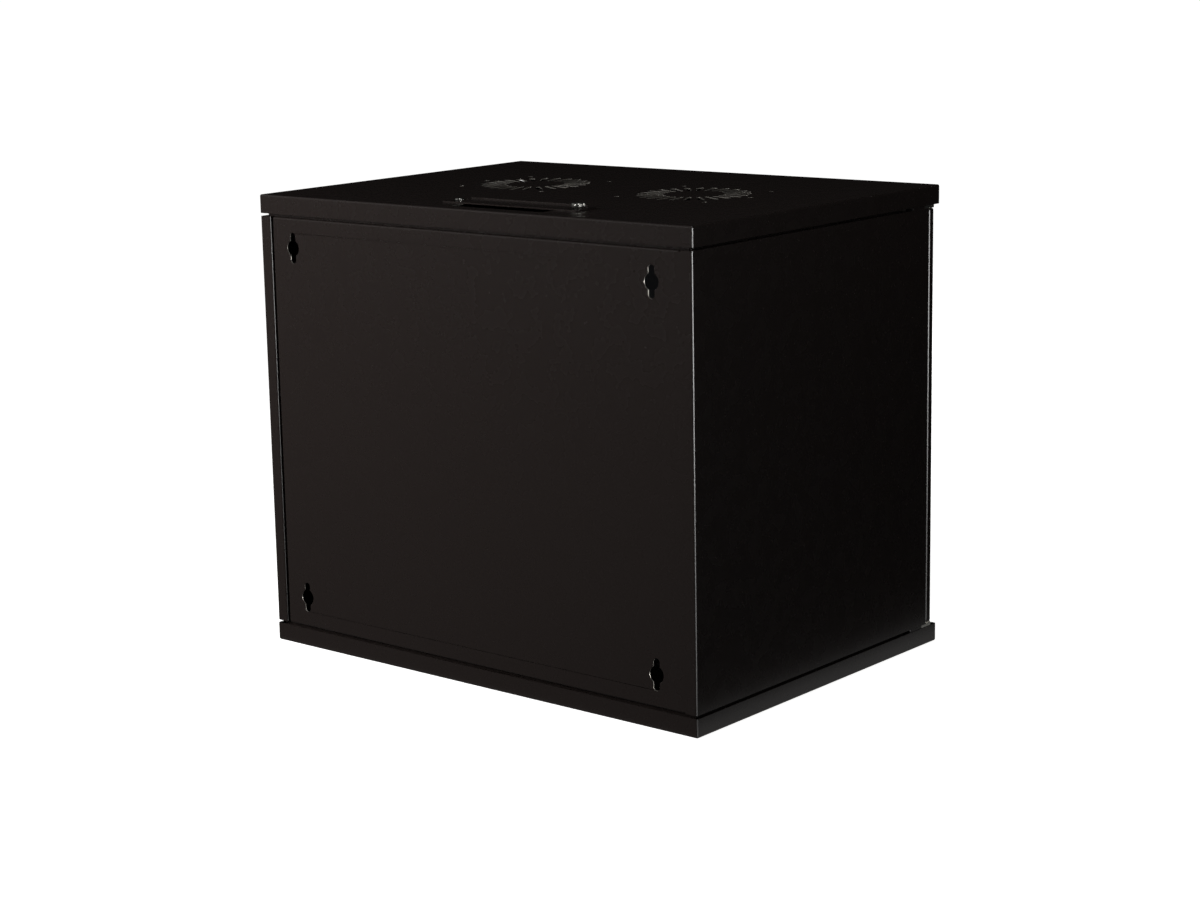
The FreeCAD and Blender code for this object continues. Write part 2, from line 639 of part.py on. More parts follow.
def hinge_plate(z, pin_r):
    """A zinc-plated plate that lies in the shadow gap and reaches out to the door's pivot."""
    edge_x = -SIDE_X
    ear = rod(HINGE_EAR_R, V(PIVOT_X, PIVOT_Y, z), Z_AXIS, HINGE_T)
    arm = box(edge_x, PIVOT_X + HINGE_EAR_R, PIVOT_Y, -150.0, z, z + HINGE_T)
    seat = box(edge_x, HINGE_INNER_X - 1, -176.0, -150.0, z, z + HINGE_T)
    plate = fuse([ear, arm, seat])
    limit = box(edge_x, 0, -200, 0, z - 1, z + HINGE_T + 1)
    holes = [rod(M5_R, V(x, y, z - 1), Z_AXIS, HINGE_T + 2) for x, y in HINGE_SCREWS]
    pin_hole = rod(pin_r, V(PIVOT_X, PIVOT_Y, z - 1), Z_AXIS, HINGE_T + 2)
    return plate.common(limit).cut(holes + [pin_hole])


def hinge_screw(x, y, z, way):
    reach = HINGE_T + SHEET + 3
    head = rod(M5_HEAD_R, V(x, y, z), way, M5_HEAD_T - 0.1)
    shank = rod(M5_R - 0.1, V(x, y, z) - way * reach, way, reach + INTO_HEAD)
    return fuse([head, shank])


def upper_pin():
    """The door's spring-loaded hinge pin: a bent rod with a collar for the spring."""
    bend = 5.0
    path = Part.Wire(round_edges([V(PIVOT_X, PIVOT_Y, PIN_TOP_Z), V(PIVOT_X, PIVOT_Y, PIN_HANDLE_Z),
                                  V(PIVOT_X + 26, PIVOT_Y, PIN_HANDLE_Z)], [bend]))
    section = Part.Wire(Part.makeCircle(UPPER_PIN_R, V(PIVOT_X, PIVOT_Y, PIN_TOP_Z), Z_AXIS))
    bent = path.makePipeShell([section], True, True)
    collar = rod(COLLAR_R, V(PIVOT_X, PIVOT_Y, SPRING_Z1), Z_AXIS, COLLAR_T)
    return fuse([bent, collar])


def pin_bracket():
    """A folded bracket inside the door with two ears that guide the upper pin."""
    back = DOOR_FRONT + SHEET
    ears = []
    for z in (SPRING_Z0 - SHEET, SPRING_Z1 + COLLAR_T):
        ears.append(box(PIVOT_X - 2.7, PIVOT_X + 12, back, DOOR_BACK - SHEET - 0.2, z, z + SHEET))
    strap = box(PIVOT_X + 3.5, PIVOT_X + 12, back, back + 0.6,
                SPRING_Z0 - SHEET, SPRING_Z1 + COLLAR_T + SHEET)
    bore = rod(UPPER_PIN_R + RUNNING, V(PIVOT_X, PIVOT_Y, SPRING_Z0 - 5), Z_AXIS, 40)
    return fuse(ears + [strap]).cut(bore)


def pin_spring():
    """The compression spring between the lower ear and the pin's collar."""
    inner_r = UPPER_PIN_R + RUNNING
    half = SPRING_WIRE / 2
    length = SPRING_Z1 - SPRING_Z0 - SPRING_WIRE - 0.04
    helix = Part.makeHelix(length / SPRING_TURNS, length, inner_r + half)
    corners = [V(inner_r, 0, -half), V(inner_r + SPRING_WIRE, 0, -half),
               V(inner_r + SPRING_WIRE, 0, half), V(inner_r, 0, half), V(inner_r, 0, -half)]
    coil = Part.Wire(helix).makePipeShell([Part.makePolygon(corners)], True, True)
    coil.translate(V(PIVOT_X, PIVOT_Y, SPRING_Z0 + half + 0.02))
    return coil


def make_hinges():
    upper_z = PANEL_TOP
    lower_z = PANEL_BOTTOM - HINGE_T
    screws = [hinge_screw(x, y, upper_z + HINGE_T, Z_AXIS) for x, y in HINGE_SCREWS]
    screws += [hinge_screw(x, y, lower_z, -Z_AXIS) for x, y in HINGE_SCREWS]
    lower_pin = rod(LOWER_PIN_R, V(PIVOT_X, PIVOT_Y, lower_z), Z_AXIS, HINGE_T + 10)
    rim = [edge for edge in lower_pin.Edges
           if isinstance(edge.Curve, Part.Circle) and edge.CenterOfMass.z > PANEL_BOTTOM + 1]
    lower_pin = lower_pin.makeChamfer(0.8, rim)
    washer = rod(5.0, V(PIVOT_X, PIVOT_Y, PANEL_BOTTOM), Z_AXIS, 0.5)
    washer = washer.cut(rod(LOWER_PIN_R, V(PIVOT_X, PIVOT_Y, PANEL_BOTTOM - 1), Z_AXIS, 3))
    return {"hinge_plate_upper": hinge_plate(upper_z, UPPER_PIN_R + RUNNING),
            "hinge_plate_lower": hinge_plate(lower_z, LOWER_PIN_R),
            "hinge_pin_lower": lower_pin,
            "hinge_washer": washer,
            "hinge_screws": group(screws),
            "hinge_pin_upper": upper_pin(),
            "hinge_pin_bracket": pin_bracket(),
            "hinge_pin_spring": pin_spring()}


# ---------------------------------------------------------------- door

def rounded_frame(half, z0, z1, y0, y1, radius):
    plate = box(-half, half, y0, y1, z0, z1)
    corners = [edge for edge in plate.Edges if abs(edge.tangentAt(0).y) > 0.9]
    return plate.makeFillet(radius, corners)


def door_frame():
    """The door: a pan folded from one sheet, with a window and a return flange all round."""
    outer = box(-DOOR_X, DOOR_X, DOOR_FRONT, DOOR_BACK, DOOR_Z0, DOOR_Z1)
    outer = outer.makeFillet(DOOR_EDGE, outer.Edges)
    hollow = box(-DOOR_X + SHEET, DOOR_X - SHEET, DOOR_FRONT + SHEET, DOOR_BACK - SHEET,
                 DOOR_Z0 + SHEET, DOOR_Z1 - SHEET)
    mouth = box(-DOOR_X + DOOR_RETURN, DOOR_X - DOOR_RETURN, DOOR_BACK - SHEET - 1, DOOR_BACK + 1,
                DOOR_Z0 + DOOR_RETURN, DOOR_Z1 - DOOR_RETURN)
    window = rounded_frame(WINDOW_X, WINDOW_Z0, WINDOW_Z1, DOOR_FRONT - 1, DOOR_FRONT + 3, WINDOW_R)
    lock_hole = rod(LOCK_R, V(LOCK_X, DOOR_FRONT - 1, LOCK_Z), Y_AXIS, 3)
    upper_hole = rod(UPPER_PIN_R + RUNNING, V(PIVOT_X, PIVOT_Y, DOOR_Z1 - 3), Z_AXIS, 6)
    lower_hole = rod(LOWER_PIN_R + RUNNING, V(PIVOT_X, PIVOT_Y, DOOR_Z0 - 3), Z_AXIS, 6)
    return outer.cut([hollow, mouth, window, lock_hole, upper_hole, lower_hole])


def make_door():
    glass_y = DOOR_FRONT + SHEET + GASKET_T
    glass_x = WINDOW_X + GLASS_OVERLAP
    glass_z0 = WINDOW_Z0 - GLASS_OVERLAP
    glass_z1 = WINDOW_Z1 + GLASS_OVERLAP
    glass = rounded_frame(glass_x, glass_z0, glass_z1, glass_y, glass_y + GLASS_T, 4.0)
    edges = [edge for edge in glass.Edges if edge.CenterOfMass.y > glass_y + GLASS_T - 0.1
             or edge.CenterOfMass.y < glass_y + 0.1]
    glass = glass.makeChamfer(0.4, edges)
    ring = rounded_frame(glass_x - 1, glass_z0 + 1, glass_z1 - 1, glass_y - GASKET_T, glass_y, 4.0)
    ring = ring.cut(rounded_frame(glass_x - GASKET_W, glass_z0 + GASKET_W, glass_z1 - GASKET_W,
                                  glass_y - 2, glass_y + 1, 4.0))
    clips = []
    glass_back = glass_y + GLASS_T
    foot_y = DOOR_FRONT + SHEET
    for sign in (-1, 1):
        for z in CLIP_Z:
            outline = [(glass_x + CLIP_FOOT, foot_y + CLIP_T), (glass_x + 1.2, foot_y + CLIP_T),
                       (glass_x + 1.2, glass_back + CLIP_T),
                       (glass_x - CLIP_HOLD, glass_back + CLIP_T)]
            clip = folded(outline[::-1], lambda a, b: V(a, b, z - CLIP_WIDTH / 2),
                          V(0, 0, CLIP_WIDTH), CLIP_T, 0.3)
            clips.append(clip if sign > 0 else mirrored(clip))
    buffer_t = FRONT_Y - DOOR_BACK - 0.1
    buffers = [rod(BUFFER_R, V(BUFFER_X, FRONT_Y - buffer_t, z), Y_AXIS, buffer_t)
               for z in BUFFER_Z]
    return {"door_frame": door_frame(),
            "door_glass": glass,
            "glass_gasket": ring,
            "glass_clips": group(clips),
            "door_buffers": group(buffers)}


# ---------------------------------------------------------------- lock

def make_lock():
    """A cam lock in the door: body, fixing nut, keyed plug, cam and cam screw."""
    face = V(LOCK_X, DOOR_FRONT, LOCK_Z)
    body_end = CAM_Y - 0.2
    flange = rod(LOCK_R + LOCK_FLANGE, face - Y_AXIS * LOCK_FLANGE, Y_AXIS, LOCK_FLANGE)
    front = DOOR_FRONT - LOCK_FLANGE
    rim = [edge for edge in flange.Edges
           if isinstance(edge.Curve, Part.Circle) and edge.CenterOfMass.y < front + 0.1]
    flange = flange.makeChamfer(0.8, rim)
    barrel = rod(LOCK_R, face - Y_AXIS * 0.5, Y_AXIS, body_end - DOOR_FRONT + 0.5)
    bore = rod(PLUG_R + RUNNING, face - Y_AXIS * 3, Y_AXIS, 20)
    body = fuse([flange, barrel]).cut(bore)
    nut_start = face + Y_AXIS * SHEET
    nut = hexagon(LOCK_NUT, nut_start, Y_AXIS, 4.0).cut(rod(LOCK_R, nut_start - Y_AXIS, Y_AXIS, 6))
    plug = rod(PLUG_R, face - Y_AXIS * 1.8, Y_AXIS, CAM_Y - DOOR_FRONT + 1.8)
    keyway = box(LOCK_X - 0.7, LOCK_X + 0.7, DOOR_FRONT - 2.5, DOOR_FRONT + 6,
                 LOCK_Z - 3.6, LOCK_Z + 3.6)
    plug = plug.cut(keyway)
    boss = rod(CAM_BOSS_R, V(LOCK_X, CAM_Y, LOCK_Z), Y_AXIS, CAM_T)
    blade = box(LOCK_X - CAM_HALF, LOCK_X + CAM_HALF, CAM_Y, CAM_Y + CAM_T,
                LOCK_Z - CAM_REACH, LOCK_Z)
    tip = [edge for edge in blade.Edges
           if abs(edge.tangentAt(0).y) > 0.9 and edge.CenterOfMass.z < LOCK_Z - CAM_REACH + 1]
    blade = blade.makeFillet(3.0, tip)
    cam = fuse([boss, blade])
    screw = hexagon(M5_NUT, V(LOCK_X, CAM_Y + CAM_T, LOCK_Z), Y_AXIS, 3.0)
    return {"lock_body": body,
            "lock_nut": nut,
            "lock_plug": plug,
            "lock_cam": cam,
            "lock_cam_screw": screw}


# ---------------------------------------------------------------- earth point

def make_earth_point():
    """The earth stud on the right side panel, with its two nuts and washer."""
    face_x = SIDE_X - SHEET
    flat = rod(EARTH_PLATE_R, V(face_x - 1.0, EARTH_Y, EARTH_Z), X_AXIS, 1.0)
    stud = fuse([flat, rod(M6_R, V(face_x - EARTH_REACH, EARTH_Y, EARTH_Z), X_AXIS,
                           EARTH_REACH - INTO_HEAD)])
    nuts = []
    for step in EARTH_NUT_STEPS:
        start = V(face_x - step, EARTH_Y, EARTH_Z)
        nut = hexagon(M6_NUT, start, X_AXIS, M6_NUT_T)
        nuts.append(nut.cut(rod(M6_R, start - X_AXIS, X_AXIS, M6_NUT_T + 2)))
    start = V(face_x - EARTH_NUT_STEPS[0] - 0.9, EARTH_Y, EARTH_Z)
    washer = rod(6.0, start, X_AXIS, 0.8).cut(rod(M6_R + 0.2, start - X_AXIS, X_AXIS, 3))
    return {"earth_stud": stud, "earth_nuts": group(nuts), "earth_washer": washer}


def main():
    os.makedirs("parts", exist_ok=True)
    pieces = {}
    for make in (make_covers, make_body, make_hinges, make_door, make_lock, make_earth_point):
        pieces.update(make())
    for name, shape in pieces.items():
        shape.exportStep("parts/" + name + ".step")


main()
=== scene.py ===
"""Finishes for the sheet metal and hardware, and a plain studio, for a wall mount network cabinet.
"""

import json
import math

import bmesh
import bpy
from mathutils import Matrix, Vector


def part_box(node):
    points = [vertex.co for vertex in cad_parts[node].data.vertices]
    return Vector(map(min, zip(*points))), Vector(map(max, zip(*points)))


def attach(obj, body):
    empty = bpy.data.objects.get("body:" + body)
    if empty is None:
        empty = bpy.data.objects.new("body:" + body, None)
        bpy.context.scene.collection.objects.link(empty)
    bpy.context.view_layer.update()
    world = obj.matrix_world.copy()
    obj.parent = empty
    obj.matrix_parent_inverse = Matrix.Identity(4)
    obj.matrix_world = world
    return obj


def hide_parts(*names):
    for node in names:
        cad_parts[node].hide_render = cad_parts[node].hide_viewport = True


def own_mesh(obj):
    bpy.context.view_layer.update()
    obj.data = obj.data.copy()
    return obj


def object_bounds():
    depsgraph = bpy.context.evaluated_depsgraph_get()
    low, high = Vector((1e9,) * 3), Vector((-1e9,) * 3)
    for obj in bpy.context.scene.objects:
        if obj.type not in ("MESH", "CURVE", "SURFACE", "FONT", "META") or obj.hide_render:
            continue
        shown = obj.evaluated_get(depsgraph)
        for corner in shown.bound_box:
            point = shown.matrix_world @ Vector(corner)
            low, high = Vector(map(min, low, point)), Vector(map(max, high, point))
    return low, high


bl_info = {
    "name": "Wall Mount Network Cabinet",
    "version": (1, 0, 0),
    "blender": (4, 5, 0),
    "location": "3D View > Sidebar > Cabinet",
    "description": "Powder coat, plated hardware, smoked glass and a studio for a rack cabinet",
    "category": "Add Mesh",
}

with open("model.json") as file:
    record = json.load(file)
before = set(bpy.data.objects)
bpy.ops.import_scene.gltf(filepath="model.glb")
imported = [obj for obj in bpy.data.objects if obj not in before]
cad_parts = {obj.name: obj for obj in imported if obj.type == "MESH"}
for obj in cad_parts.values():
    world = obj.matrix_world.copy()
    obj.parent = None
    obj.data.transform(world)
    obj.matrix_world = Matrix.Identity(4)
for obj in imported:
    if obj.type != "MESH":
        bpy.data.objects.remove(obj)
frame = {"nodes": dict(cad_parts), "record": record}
CAD_LOW, CAD_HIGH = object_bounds()
NODES = frame["nodes"]
BODY_OF = {node: body for body, nodes in frame["record"]["behaviour"]["bodies"].items()
           for node in nodes}
MM = 0.001
CENTRE = (CAD_LOW + CAD_HIGH) / 2
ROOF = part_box("top_cover")[1].z
PANEL_LOW, PANEL_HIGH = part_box("rear_panel")

# ---- softened edges and merged corners ----
SAME_POINT = 0.002 * MM          # corners closer than this are one corner
EDGE_ROUND = 0.22 * MM           # folded and cut edges of the coated sheet
KEYHOLE_ROUND = 0.5 * MM         # the wall keyholes' edges, where the coat builds up
HARDWARE_ROUND = 0.12 * MM       # turned and pressed hardware

# ---- places of the finishes ----
SHEET = 1.2 * MM
ON_FACE = 0.1 * MM               # this near a sheet's face, a point counts as lying in it
UPRIGHT = 0.3                    # a wall's normal leans less than this along the sheet's own normal
HOLE_MARGIN = 8 * MM             # punched holes keep clear of a sheet's outer edges by this much
PAINTED_SHADE_FROM = -171 * MM         # the hinge plates take the black coat behind this, as painted shade of the gap between the side panel and the cover, and are bare zinc before it
COAT_LAP = 0.6 * MM              # the coat in the rear joint runs this far under both sheets
COAT_PROUD = 0.02 * MM

# ---- studio ----
FLOOR_GAP = 0.2 * MM
FLOOR_HALF = 30.0
RIM_SHADE = 4 * MM               # the dark under the base starts this far inside its outline
# The white paper under the cabinet glows: painted light that only reflections and bounced light
# see, which puts a painted reflection on the bottom cover's -X side.
PAINTED_GLOW_EDGE = (-0.325, -0.285)    # across this strip the painted glow of the white paper under the cabinet fades in
PAINTED_PAPER_GLOW = 0.27
PAINTED_GLOW_BLUR = 0.01
DIM_BOARDS = (0.08, 0.08, 0.08, 1.0)
POLISHED_BOARDS = (0.18, 0.18, 0.18, 1.0)
THROUGH_GLASS = 0.12             # share of the white surround that shows through the dark glass
LENS_SHIFT = (0.0667, -0.0083)

PAINTED = (
    "top_cover", "bottom_cover", "rear_panel", "side_panel_right", "side_panel_left",
    "front_header_top", "front_header_bottom", "depth_rail_right_lower", "depth_rail_right_upper",
    "depth_rail_left_lower", "depth_rail_left_upper", "mounting_rail_right", "mounting_rail_left",
    "door_frame", "cable_cover_top", "cable_cover_bottom",
)
ZINC = (
    "hinge_pin_lower", "hinge_screws", "hinge_pin_upper", "hinge_pin_bracket",
    "cable_cover_thumbscrew", "cable_cover_guide_screw", "cable_cover_screws_bottom",
    "cover_screws_top", "cover_screws_bottom", "weld_nuts_top", "weld_nuts_bottom",
    "rear_panel_screws", "rear_panel_weld_nuts", "rail_bolts_right", "rail_bolts_left",
    "rail_nuts_right", "rail_nuts_left", "earth_nuts", "earth_washer", "lock_cam",
    "lock_cam_screw", "glass_clips", "lock_nut",
)


# ---------------------------------------------------------------- colours and nodes

def linear(code):
    """An sRGB hex code such as 1c1917 as linear red, green and blue, with an alpha of one."""
    channels = [int(code[i:i + 2], 16) / 255 for i in (0, 2, 4)]
    straight = [c / 12.92 if c <= 0.04045 else ((c + 0.055) / 1.055) ** 2.4 for c in channels]
    return (*straight, 1.0)


def add_node(tree, kind, settings=None, links=None):
    """Adds a shader node, sets its properties and inputs, and links outputs into its inputs."""
    node = tree.nodes.new(kind)
    for name, value in (settings or {}).items():
        if hasattr(node, str(name)):
            setattr(node, name, value)
        else:
            node.inputs[name].default_value = value
    for name, source in (links or {}).items():
        tree.links.new(source, node.inputs[name])
    return node


def new_material(name):
    """An empty node material with its output, ready for a surface."""
    material = bpy.data.materials.new(name)
    material.use_nodes = True
    material.node_tree.nodes.clear()
    output = material.node_tree.nodes.new("ShaderNodeOutputMaterial")
    return material, material.node_tree, output


def object_point(tree):
    """The place on the object, in its own frame and in metres."""
    return add_node(tree, "ShaderNodeTexCoord").outputs["Object"]


# ---------------------------------------------------------------- finishes

def powder_coat(name, colour, roughness, peel):
    """Satin black polyester powder coat on folded steel, sprayed and stoved.

    The eye sees a near-black, slightly warm surface with soft reflections, a fine orange peel and a
    slow waviness of the sheet; the punched edges, where the coat is thin and the steel shines, take
    a material of their own."""
    material, tree, output = new_material(name)
    point = object_point(tree)
    grain = add_node(tree, "ShaderNodeTexNoise", {"Scale": 1 / (peel * MM), "Detail": 3.0,
                                                  "Roughness": 0.55}, {"Vector": point})
    sheet = add_node(tree, "ShaderNodeTexNoise", {"Scale": 4.0, "Detail": 1.0}, {"Vector": point})
    dust = add_node(tree, "ShaderNodeTexNoise", {"Scale": 60.0, "Detail": 2.0}, {"Vector": point})
    wave = add_node(tree, "ShaderNodeBump", {"Strength": 0.25, "Distance": 0.6 * MM},
                    {"Height": sheet.outputs["Fac"]})
    peel_bump = add_node(tree, "ShaderNodeBump", {"Strength": 0.22, "Distance": 0.05 * MM},
                         {"Height": grain.outputs["Fac"], "Normal": wave.outputs["Normal"]})
    rough = add_node(tree, "ShaderNodeMapRange",
                     {"From Min": 0.3, "From Max": 0.7, "To Min": roughness - 0.012,
                      "To Max": roughness + 0.016}, {"Value": dust.outputs["Fac"]})
    surface = add_node(tree, "ShaderNodeBsdfPrincipled",
                       {"Base Color": colour, "Specular IOR Level": 0.5},
                       {"Roughness": rough.outputs["Result"],
                        "Normal": peel_bump.outputs["Normal"]})
    tree.links.new(surface.outputs["BSDF"], output.inputs["Surface"])
    return material


def plated_steel(name, colour, roughness, streak, metallic=1.0):
    """Bright zinc or nickel plate on pressed and turned steel: a metal with a faint cloudiness.

    A lower metallic gives a matt film over the metal, as on a thinly coated cut edge."""
    material, tree, output = new_material(name)
    point = object_point(tree)
    cloud = add_node(tree, "ShaderNodeTexNoise", {"Scale": 1 / (streak * MM), "Detail": 4.0},
                     {"Vector": point})
    rough = add_node(tree, "ShaderNodeMapRange",
                     {"To Min": roughness - 0.06, "To Max": roughness + 0.08},
                     {"Value": cloud.outputs["Fac"]})
    bump = add_node(tree, "ShaderNodeBump", {"Strength": 0.15, "Distance": 0.05 * MM},
                    {"Height": cloud.outputs["Fac"]})
    surface = add_node(tree, "ShaderNodeBsdfPrincipled",
                       {"Base Color": colour, "Metallic": metallic},
                       {"Roughness": rough.outputs["Result"], "Normal": bump.outputs["Normal"]})
    tree.links.new(surface.outputs["BSDF"], output.inputs["Surface"])
    return material


def smoked_glass(name, colour):
    """Tempered float glass tinted grey in the melt: dark, clear and quite smooth."""
    material, tree, output = new_material(name)
    point = object_point(tree)
    roll = add_node(tree, "ShaderNodeTexNoise", {"Scale": 6.0, "Detail": 1.0}, {"Vector": point})
    bump = add_node(tree, "ShaderNodeBump", {"Strength": 0.04, "Distance": 0.3 * MM},
                    {"Height": roll.outputs["Fac"]})
    surface = add_node(tree, "ShaderNodeBsdfPrincipled",
                       {"Base Color": colour, "Roughness": 0.02, "IOR": 1.52,
                        "Transmission Weight": 1.0}, {"Normal": bump.outputs["Normal"]})
    tree.links.new(surface.outputs["BSDF"], output.inputs["Surface"])
    return material


def moulded(name, colour, roughness, grain):
    """Rubber or nylon from a mould: matt, with a fine grain."""
    material, tree, output = new_material(name)
    point = object_point(tree)
    speck = add_node(tree, "ShaderNodeTexNoise", {"Scale": 1 / (grain * MM), "Detail": 2.0},
                     {"Vector": point})
    bump = add_node(tree, "ShaderNodeBump", {"Strength": 0.2, "Distance": 0.05 * MM},
                    {"Height": speck.outputs["Fac"]})
    surface = add_node(tree, "ShaderNodeBsdfPrincipled",
                       {"Base Color": colour, "Roughness": roughness},
                       {"Normal": bump.outputs["Normal"]})
    tree.links.new(surface.outputs["BSDF"], output.inputs["Surface"])
    return material


def merged_copy(node_name, materials, edge_round=EDGE_ROUND, is_second=None, split_y=None,
                smooth_angle=50.0):
    """A copy of a frame node with shared corners and soft bends, which takes the node's place.

    Faces for which is_second(middle, normal) is true take the second material. Faces that
    cross the plane at split_y are parted there first."""
    mesh = bpy.data.meshes.new(node_name + "_finished")
    shape = bmesh.new()
    shape.from_mesh(NODES[node_name].data)
    bmesh.ops.remove_doubles(shape, verts=shape.verts, dist=SAME_POINT)
    bmesh.ops.recalc_face_normals(shape, faces=shape.faces)
    if split_y is not None:
        every = [*shape.verts, *shape.edges, *shape.faces]
        bmesh.ops.bisect_plane(shape, geom=every, dist=SAME_POINT, plane_co=(0, split_y, 0),
                               plane_no=(0, 1, 0))
    for face in shape.faces:
        face.smooth = True
        if is_second and is_second(face.calc_center_median(), face.normal):
            face.material_index = 1
    shape.to_mesh(mesh)
    shape.free()
    for material in materials:
        mesh.materials.append(material)
    mesh.set_sharp_from_angle(angle=math.radians(smooth_angle))
    copy = bpy.data.objects.new(node_name + "_finished", mesh)
    bpy.context.scene.collection.objects.link(copy)
    rounded = copy.modifiers.new("soft_edges", "BEVEL")
    rounded.width = edge_round
    rounded.segments = 2
    rounded.limit_method = "ANGLE"
    rounded.angle_limit = math.radians(smooth_angle)
    weighted = copy.modifiers.new("even_flats", "WEIGHTED_NORMAL")
    weighted.keep_sharp = True
    weighted.weight = 100
    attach(copy, BODY_OF[node_name])
    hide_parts(node_name)
    return copy


def give(node_name, material):
    """Puts a material on a frame node, in place of its plain one."""
    mesh = NODES[node_name].data
    mesh.materials.clear()
    mesh.materials.append(material)


# ---------------------------------------------------------------- settings

class CabinetFinishes(bpy.types.PropertyGroup):
    paint: bpy.props.FloatVectorProperty(
        name="Powder coat", description="Colour of the coated sheet metal", subtype="COLOR",
        size=4, min=0.0, max=1.0, default=linear("282220"))
    paint_roughness: bpy.props.FloatProperty(
        name="Coat roughness", description="How satin the coat is", default=0.27,
        min=0.05, max=1.0, subtype="FACTOR")
    peel_mm: bpy.props.FloatProperty(
        name="Orange peel", description="Width of the coat's ripples in millimetres; real ones "
        "are finer than a render shows", default=1.6, min=0.2, max=10.0)
    zinc: bpy.props.FloatVectorProperty(
        name="Zinc plate", description="Colour of the plated hardware", subtype="COLOR",
        size=4, min=0.0, max=1.0, default=linear("c9c8c2"))
    glass: bpy.props.FloatVectorProperty(
        name="Smoked glass", description="Tint of the door's glass", subtype="COLOR",
        size=4, min=0.0, max=1.0, default=linear("1a1a1b"))


class CabinetStage(bpy.types.PropertyGroup):
    floor_colour: bpy.props.FloatVectorProperty(
        name="Floor", description="Colour of the floor and backdrop", subtype="COLOR",
        size=4, min=0.0, max=1.0, default=linear("fcfcfb"))
    lens: bpy.props.FloatProperty(
        name="Lens", description="Focal length of the camera", default=75.563,
        min=10.0, max=300.0, subtype="DISTANCE_CAMERA")
    azimuth: bpy.props.FloatProperty(
        name="Azimuth", description="Turn of the view round the cabinet",
        default=math.radians(221.522), subtype="ANGLE", unit="ROTATION")
    elevation: bpy.props.FloatProperty(
        name="Elevation", description="How far the view looks down",
        default=math.radians(11.545), subtype="ANGLE", unit="ROTATION")
    roll: bpy.props.FloatProperty(
        name="Roll", description="Tilt of the horizon", default=math.radians(-1.406),
        subtype="ANGLE", unit="ROTATION")
    eye: bpy.props.FloatVectorProperty(
        name="Eye", description="Where the camera stands", size=3, unit="LENGTH",
        default=(-1.5765, 1.9011, 0.7132))


# ---------------------------------------------------------------- operators: finishes

def rear_face(node_name):
    """The lowest and highest corners of the part of a node that lies in the cabinet's rear face."""
    points = [v.co for v in NODES[node_name].data.vertices if v.co.y > CAD_HIGH.y - ON_FACE]
    return [Vector([pick(p[i] for p in points) for i in range(3)]) for pick in (min, max)]


def bridge_rear_joint(coat):
    """The coat that fills the hairline joint between the rear panel and the -X strip."""
    panel_low, panel_high = rear_face("rear_panel")
    strip_edge = rear_face("side_panel_left")[1].x
    low = Vector((strip_edge - COAT_LAP, CAD_HIGH.y - COAT_LAP, panel_low.z))
    high = Vector((panel_low.x + COAT_LAP, CAD_HIGH.y + COAT_PROUD, panel_high.z))
    mesh = bpy.data.meshes.new("coat_in_rear_joint")
    shape = bmesh.new()
    bmesh.ops.create_cube(shape, size=1.0)
    bmesh.ops.scale(shape, verts=shape.verts, vec=high - low)
    bmesh.ops.translate(shape, verts=shape.verts, vec=(high + low) / 2)
    shape.to_mesh(mesh)
    shape.free()
    mesh.materials.append(coat)
    bead = bpy.data.objects.new("coat_in_rear_joint", mesh)
    bpy.context.scene.collection.objects.link(bead)
    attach(bead, BODY_OF["rear_panel"])


def in_roof_hole(middle, normal):
    """True for the punched walls of the vents and screw holes in a cover's roof."""
    inside = (abs(middle.x) < CAD_HIGH.x - HOLE_MARGIN
              and abs(middle.y) < CAD_HIGH.y - HOLE_MARGIN)
    in_sheet = (middle.z > ROOF - SHEET + ON_FACE
                or middle.z < CAD_LOW.z + SHEET - ON_FACE)
    return inside and abs(normal.z) < UPRIGHT and in_sheet


def in_keyhole(middle, normal):
    """True for the punched walls of the wall keyholes in the rear panel."""
    inside = all(PANEL_LOW[i] + HOLE_MARGIN < middle[i] < PANEL_HIGH[i] - HOLE_MARGIN
                 for i in (0, 2))
    return inside and abs(normal.y) < UPRIGHT and middle.y > CAD_HIGH.y - SHEET + ON_FACE


def in_painted_shade_seat(middle, normal):
    """True for the part of a hinge plate that takes the black coat as painted shade, where it lies
    in the gap between the side panel and the cover.
    """
    return middle.y > PAINTED_SHADE_FROM


class CABINET_OT_coat_sheet_metal(bpy.types.Operator):
    """Gives the covers, panels, rails and door frame their powder coat"""
    bl_idname = "cabinet.coat_sheet_metal"
    bl_label = "Coat Sheet Metal"

    def execute(self, context):
        settings = context.scene.cabinet_finishes
        coat = powder_coat("satin_black_powder_coat", settings.paint, settings.paint_roughness,
                           settings.peel_mm)
        cut = plated_steel("thinly_coated_cut_edge", linear("bfbbb3"), 0.3, 2.0, 0.75)
        for name in PAINTED:
            if name == "rear_panel":
                merged_copy(name, (coat, cut), KEYHOLE_ROUND, in_keyhole)
            elif name in ("top_cover", "bottom_cover"):
                merged_copy(name, (coat, cut), EDGE_ROUND, in_roof_hole)
            else:
                merged_copy(name, (coat,))
        bridge_rear_joint(coat)
        return {"FINISHED"}


def wind_spring(plate):
    """The hinge pin's spring, as a zinc-plated merged copy with a mesh of its own."""
    coil = merged_copy("hinge_pin_spring", (plate,), HARDWARE_ROUND)
    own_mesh(coil)


